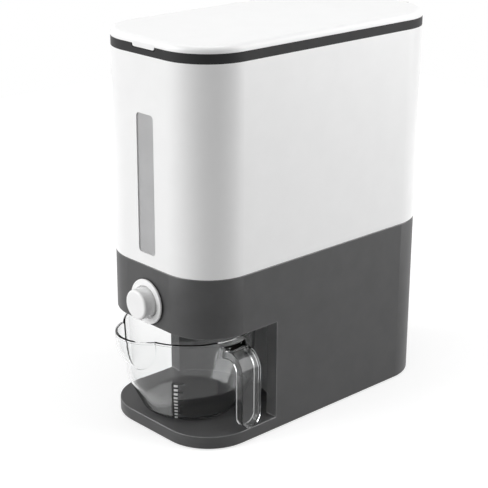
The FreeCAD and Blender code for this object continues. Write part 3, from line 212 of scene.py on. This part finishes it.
def frosted_plastic(name, dark, light, rough):
    """Translucent window plastic that scatters what lies behind it."""
    shader = Shader(name)
    mottle = shader.noise(scale=24.0, detail=3.0, rough=0.6)
    shader.feed("Base Color", shader.ramp(mottle, dark, light))
    shader.feed("Roughness", shader.spread(shader.noise(scale=700.0, detail=2.0), *rough))
    frost = shader.noise(scale=1500.0, detail=2.0)
    shader.bump(frost, strength=0.3, distance=0.00004)
    shader.set(IOR=1.49, Transmission_Weight=0.35)
    return shader.material


def plated_steel(name, dark, light, rough):
    """Zinc-plated steel with fine streaks along its height."""
    shader = Shader(name)
    shader.feed("Base Color", shader.ramp(shader.noise(scale=300.0), dark, light))
    streaks = shader.noise(scale=900.0, detail=3.0, rough=0.6, stretch=(1.0, 1.0, 0.08))
    shader.feed("Roughness", shader.spread(streaks, *rough))
    shader.bump(streaks, strength=0.3, distance=0.00002)
    shader.set(Metallic=1.0)
    return shader.material


def matt_coat(name, dark, light, rough):
    """Rubber, silicone or printing ink, with a fine dull grain."""
    shader = Shader(name)
    shader.feed("Base Color", shader.ramp(shader.noise(scale=120.0), dark, light))
    shader.feed("Roughness", shader.spread(shader.noise(scale=400.0), *rough))
    shader.bump(shader.noise(scale=1800.0), strength=0.4, distance=0.00005)
    return shader.material


WHITE = moulded(
    "white_abs", grey(0.885), grey(0.90), rough=(0.29, 0.31), grain=1500.0, depth=0.00001)
DARK = moulded(
    "dark_abs", grey(0.072, 0.001), grey(0.080, 0.001),
    rough=(0.42, 0.45), grain=2200.0, depth=0.00003, level=0.22)
# Lighter grey for the base's rounded edges: a painted highlight where light catches them.
EDGE_HIGHLIGHT = moulded(
    "painted_edge_highlight", grey(0.13, 0.001), grey(0.15, 0.001),
    rough=(0.20, 0.26), grain=2200.0, depth=0.00001)
INNER = moulded(
    "inner_pp", grey(0.70, -0.01), grey(0.72, -0.01),
    rough=(0.44, 0.48), grain=1200.0, depth=0.00003)
ACETAL = moulded(
    "grey_acetal", (0.58, 0.59, 0.60), (0.66, 0.67, 0.68),
    rough=(0.30, 0.42), grain=1600.0, depth=0.00002)
CLEAR = clear_plastic("clear_ps", (0.975, 0.98, 0.98), rough=(0.01, 0.02))
SMOKED = clear_plastic("thick_ps", (0.60, 0.605, 0.605), rough=(0.01, 0.03))
# A darker copy of the dark plastic for the rim collar: painted shade on the band.
SHADED_COLLAR = moulded(
    "collar_painted_shade", grey(0.030, 0.001), grey(0.035, 0.001),
    rough=(0.42, 0.46), grain=2200.0, depth=0.00003, level=0.1)
WINDOW = frosted_plastic(
    "smoke_window", grey(0.55, 0.005), grey(0.60, 0.005), rough=(0.30, 0.42))
STEEL = plated_steel("zinc_steel", grey(0.52, -0.02), grey(0.68, -0.02), rough=(0.22, 0.42))
SILICONE = matt_coat("soft_silicone", grey(0.66, -0.01), grey(0.74, -0.01), rough=(0.45, 0.6))
RUBBER = matt_coat("dark_rubber", grey(0.03), grey(0.045), rough=(0.6, 0.8))
PRINT_WHITE = matt_coat("white_ink", grey(0.70), grey(0.78), rough=(0.45, 0.6))
INK = matt_coat("black_ink", grey(0.012), grey(0.02), rough=(0.45, 0.6))

FINISHES = {
    "white_plastic": WHITE, "dark_plastic": DARK, "inner_plastic": INNER, "grey_acetal": ACETAL,
    "clear_plastic": CLEAR, "smoke_window": WINDOW, "zinc_steel": STEEL,
    "soft_silicone": SILICONE, "dark_rubber": RUBBER,
}


def paint_frame():
    """Every CAD node in the finish of its material slot; two nodes have one of their own, the
    collar's a darker copy of the dark plastic with painted shade.
    """
    for entry in frame["record"]["subparts"]:
        paint(NODES[entry["node"]], FINISHES[entry["material_slot"]])
    paint(NODES["jug_handle"], SMOKED)
    # The collar takes the darker copy of the dark plastic: painted shade.
    paint(NODES["rim_collar"], SHADED_COLLAR)


# ---------------------------------------------------------------------------
# Rounded, glossier base edges with a painted highlight, in millimetres and degrees
# ---------------------------------------------------------------------------

EDGE_WIDTH = 0.7
EDGE_STEPS = 2
EDGE_ANGLE = 40.0
EDGE_WELD = 0.02
HIGHLIGHT_SLOT = 1


def soften_base():
    obj = NODES["base_housing"]
    weld = obj.modifiers.new("weld", "WELD")
    weld.merge_threshold = EDGE_WELD * MM
    bevel = obj.modifiers.new("soft_edges", "BEVEL")
    bevel.width = EDGE_WIDTH * MM
    bevel.segments = EDGE_STEPS
    bevel.limit_method = "ANGLE"
    bevel.angle_limit = math.radians(EDGE_ANGLE)
    bevel.use_clamp_overlap = False
    # The bevel faces take the lighter grey, a painted highlight along every sharp edge of the
    # base.
    obj.data.materials.append(EDGE_HIGHLIGHT)
    bevel.material = HIGHLIGHT_SLOT


# ---------------------------------------------------------------------------
# Measuring jug, in millimetres and degrees
# ---------------------------------------------------------------------------

JUG_AXIS = (-6.0, -107.0)
# Heights of the wall with its outer radii
WALL = [
    (16.6, 49.9), (18.8, 51.51), (43.4, 63.36), (45.5, 64.27),
    (49.0, 65.28), (53.0, 65.8), (106.0, 68.4),
]
JUG_WELD = 0.01
ROOT_REACH = 0.2
ROOT_SINK = 0.9
HANDLE_SLOT = 1
HANDLE_CREASE = 15.0
JUG_CREASE = 24.0


def wall_radius(z):
    """Outer radius of the wall at one height."""
    for (low, inner), (high, outer) in zip(WALL, WALL[1:]):
        if z <= high:
            return inner + (outer - inner) * (z - low) / (high - low)
    return WALL[-1][1]


def welded(node):
    """A copy of a node's mesh in the frame of the whole part, with its split vertices joined."""
    mesh = bmesh.new()
    mesh.from_mesh(NODES[node].data)
    mesh.transform(NODES[node].matrix_world)
    bmesh.ops.remove_doubles(mesh, verts=mesh.verts, dist=JUG_WELD * MM)
    return mesh


def sink_root(mesh):
    """Moves the handle's root a little into the jug's wall, so that the two join."""
    for vert in mesh.verts:
        x, y, z = vert.co / MM
        across = Vector((x - JUG_AXIS[0], y - JUG_AXIS[1], 0))
        if abs(across.length - wall_radius(z)) < ROOT_REACH:
            vert.co -= across.normalized() * ROOT_SINK * MM


def shade(data):
    """Smooth shading with creases; the handle's flat faces crease at a smaller angle."""
    data.shade_smooth()
    mesh = bmesh.new()
    mesh.from_mesh(data)
    for edge in mesh.edges:
        on_handle = any(face.material_index == HANDLE_SLOT for face in edge.link_faces)
        limit = HANDLE_CREASE if on_handle else JUG_CREASE
        edge.smooth = edge.calc_face_angle(0.0) < math.radians(limit)
    mesh.to_mesh(data)
    mesh.free()


def make_jug():
    """The jug and its handle as the one clear moulding that they are."""
    root = welded("jug_handle")
    sink_root(root)
    handle = new_piece("handle_blank", root, SMOKED)
    jug = new_piece("jug_moulding", welded("jug_body"), CLEAR)
    union = jug.modifiers.new("union", "BOOLEAN")
    union.operation = "UNION"
    union.solver = "EXACT"
    union.material_mode = "TRANSFER"
    union.object = handle
    bpy.context.view_layer.update()
    finished = jug.evaluated_get(bpy.context.evaluated_depsgraph_get())
    joined = bpy.data.meshes.new_from_object(finished)
    jug.modifiers.clear()
    jug.data = joined
    bpy.data.objects.remove(handle)
    shade(joined)
    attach(jug, "jug")
    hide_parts("jug_body", "jug_handle")


# ---------------------------------------------------------------------------
# Printed volume marks on the jug: heights in millimetres, widths in degrees
# ---------------------------------------------------------------------------

MARKS_ANGLE = 303.0
MARKS_LEAN = 4.2
MARKS_TOP = 63.5
MARKS_STEP = 4.65
MARKS_COUNT = 11
MARKS_DROP = MARKS_STEP * (MARKS_COUNT - 1)
PRINT_LIFT = 0.05
MARK_HALF = 0.6
LINE_WIDTH = 1.7
LONG_MARK, SHORT_MARK = 10.2, 6.2
FIELD_START, FIELD_END = 0.2, 5.4
FIELD_GAP = 0.5
LINE_ROWS, MARK_ROWS, FIELD_ROWS = 40, 1, 2
LINE_COLUMNS, MARK_COLUMNS, FIELD_COLUMNS = 1, 6, 6


def wall_point(z, angle):
    """A point of the print; its line leans a little towards the spout on the cone below."""
    radius = wall_radius(z) + PRINT_LIFT
    fall = (MARKS_TOP - z) / MARKS_DROP
    turn = math.radians(angle - MARKS_LEAN * max(fall, 0.0) ** 2)
    return Vector((
        JUG_AXIS[0] + radius * math.cos(turn), JUG_AXIS[1] + radius * math.sin(turn), z)) * MM


def print_patch(mesh, low, high, start, end, rows, columns):
    """A thin patch of print that follows the wall between two heights and two angles."""
    grid = []
    for row in range(rows + 1):
        z = low + (high - low) * row / rows
        grid.append([
            mesh.verts.new(wall_point(z, start + (end - start) * column / columns))
            for column in range(columns + 1)
        ])
    for row, above in zip(grid, grid[1:]):
        for column in range(columns):
            mesh.faces.new((row[column], row[column + 1], above[column + 1], above[column]))


def make_marks():
    """A black line with long and short volume marks, and white fields between them."""
    black, white = bmesh.new(), bmesh.new()
    edge = MARKS_ANGLE + LINE_WIDTH
    bottom = MARKS_TOP - MARKS_DROP
    print_patch(
        black, bottom - MARK_HALF, MARKS_TOP + MARK_HALF, MARKS_ANGLE, edge,
        LINE_ROWS, LINE_COLUMNS)
    for number in range(MARKS_COUNT):
        z = MARKS_TOP - MARKS_STEP * number
        end = MARKS_ANGLE + (LONG_MARK if number % 2 == 0 else SHORT_MARK)
        print_patch(black, z - MARK_HALF, z + MARK_HALF, edge, end, MARK_ROWS, MARK_COLUMNS)
        if number:
            low = z + MARK_HALF + FIELD_GAP
            high = z + MARKS_STEP - MARK_HALF - FIELD_GAP
            print_patch(
                white, low, high, edge + FIELD_START, MARKS_ANGLE + FIELD_END,
                FIELD_ROWS, FIELD_COLUMNS)
    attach(new_piece("jug_marks", black, INK), "jug")
    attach(new_piece("jug_mark_fields", white, PRINT_WHITE), "jug")


# ---------------------------------------------------------------------------
# Return spring, in millimetres
# ---------------------------------------------------------------------------

SPRING_RADIUS = 8.4
SPRING_WIRE = 0.42
SPRING_START, SPRING_END = -179.7, -141.5
SPRING_Z = 144.0
SPRING_TURNS = 7
CLOSED_GAP = 0.05
TURN_STEPS = 48
WIRE_SIDES = 12


def spring_advance(turn):
    """How far along its axis the coil is: the first and last turn are closed, the rest open."""
    pitch = 2 * SPRING_WIRE + CLOSED_GAP
    free = (SPRING_END - SPRING_START - 2 * pitch) / (SPRING_TURNS - 2)
    middle = min(max(turn - 1.0, 0.0), SPRING_TURNS - 2.0)
    closed = min(turn, 1.0) + max(turn - SPRING_TURNS + 1.0, 0.0)
    return SPRING_START + closed * pitch + middle * free


def wire_ring(mesh, turn):
    """One ring of vertices round the wire, this many turns from the coil's start."""
    angle = 2 * math.pi * turn
    outward = Vector((math.cos(angle), 0, math.sin(angle)))
    centre = outward * SPRING_RADIUS + Vector((0, spring_advance(turn), SPRING_Z))
    ring = []
    for side in range(WIRE_SIDES):
        swing = 2 * math.pi * side / WIRE_SIDES
        offset = outward * math.cos(swing) + Vector((0, 1, 0)) * math.sin(swing)
        ring.append(mesh.verts.new((centre + offset * SPRING_WIRE) * MM))
    return ring


def make_spring():
    """Round-wire coil with closed ends, built at rest; the real spring shortens as the button is
    pressed.
    """
    mesh = bmesh.new()
    steps = SPRING_TURNS * TURN_STEPS
    rings = [wire_ring(mesh, step / TURN_STEPS) for step in range(steps + 1)]
    for ring, following in zip(rings, rings[1:]):
        for side in range(WIRE_SIDES):
            after = (side + 1) % WIRE_SIDES
            mesh.faces.new((ring[side], ring[after], following[after], following[side]))
    mesh.faces.new(rings[0][::-1])
    mesh.faces.new(rings[-1])
    bmesh.ops.recalc_face_normals(mesh, faces=mesh.faces)
    for face in mesh.faces:
        face.smooth = len(face.verts) == 4
    coil = new_piece("spring_coil", mesh, STEEL)
    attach(coil, "dispenser")
    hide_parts("return_spring")
    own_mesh(coil)


# ---------------------------------------------------------------------------
# Floor, backdrop and light, in metres, degrees and watts
# ---------------------------------------------------------------------------

WORLD_LEVEL = 0.06
BACKDROP_LEVEL = 1.0
FLOOR_HALF = 1.3
FLOOR_GLOW = (0.65, 1.0)
GLOW_RADII = (0.35, 0.95)
LAMP_AIM = Vector((0, 0, 0.2))
# Name, azimuth, elevation, distance, width, height and power
LAMPS = (
    ("left_softbox", -27.0, 18.0, 2.9, 2.2, 2.4, 76.0),
    ("right_softbox", 136.0, 18.0, 2.4, 1.8, 2.4, 53.0),
    ("top_softbox", 45.0, 86.0, 1.5, 1.2, 1.2, 11.3),
)


def seen_directly(tree):
    """1 where a ray comes straight from the camera, a mirror reflection or clear plastic."""
    path = new_node(tree, "ShaderNodeLightPath")
    seen = path.outputs["Is Camera Ray"]
    for name in ("Is Glossy Ray", "Is Transmission Ray"):
        either = new_node(tree, "ShaderNodeMath")
        either.operation = "MAXIMUM"
        tree.links.new(seen, either.inputs[0])
        tree.links.new(path.outputs[name], either.inputs[1])
        seen = either.outputs["Value"]
    return seen


def make_world():
    """A weak even light on the object, and a white backdrop for what sees it directly."""
    world = bpy.data.worlds.new("studio")
    bpy.context.scene.world = world
    world.use_nodes = True
    tree = world.node_tree
    tree.nodes.clear()
    out = new_node(tree, "ShaderNodeOutputWorld")
    plain = new_node(tree, "ShaderNodeBackground", Color=WHITE_LIGHT, Strength=WORLD_LEVEL)
    white = new_node(tree, "ShaderNodeBackground", Color=WHITE_LIGHT, Strength=BACKDROP_LEVEL)
    mix = new_node(tree, "ShaderNodeMixShader")
    tree.links.new(seen_directly(tree), mix.inputs["Fac"])
    tree.links.new(plain.outputs["Background"], mix.inputs[1])
    tree.links.new(white.outputs["Background"], mix.inputs[2])
    tree.links.new(mix.outputs["Shader"], out.inputs["Surface"])


def floor_material():
    """Pale floor that fades into the white backdrop away from the object."""
    shader = Shader("pale_floor")
    shader.feed("Base Color", shader.ramp(shader.noise(scale=3.0), grey(0.47), grey(0.49)))
    shader.set(Roughness=0.9, Emission_Color=WHITE_LIGHT)
    away = new_node(shader.tree, "ShaderNodeVectorMath")
    away.operation = "LENGTH"
    shader.tree.links.new(shader.place, away.inputs[0])
    fade = shader.spread(away.outputs["Value"], *FLOOR_GLOW, *GLOW_RADII)
    glow = new_node(shader.tree, "ShaderNodeMath")
    glow.operation = "MULTIPLY"
    shader.tree.links.new(seen_directly(shader.tree), glow.inputs[0])
    shader.tree.links.new(fade, glow.inputs[1])
    shader.feed("Emission Strength", glow.outputs["Value"])
    return shader.material


def make_floor():
    mesh = bpy.data.meshes.new("floor")
    half = FLOOR_HALF
    corners = [(-half, -half, 0), (half, -half, 0), (half, half, 0), (-half, half, 0)]
    mesh.from_pydata(corners, [], [(0, 1, 2, 3)])
    floor = new_object("floor", mesh)
    paint(floor, floor_material())


def make_lamp(name, azimuth, elevation, distance, width, height, power):
    """A rectangular softbox that faces the object."""
    data = bpy.data.lights.new(name, "AREA")
    data.shape = "RECTANGLE"
    data.size = width
    data.size_y = height
    data.energy = power
    lamp = new_object(name, data)
    back = towards(azimuth, elevation)
    lamp.location = LAMP_AIM + back * distance
    lamp.rotation_euler = back.to_track_quat("Z", "Y").to_euler()


make_camera()
make_world()
make_floor()
for lamp_values in LAMPS:
    make_lamp(*lamp_values)
paint_frame()
soften_base()
make_jug()
make_marks()
make_spring()

bpy.context.scene.view_settings.view_transform = "Standard"
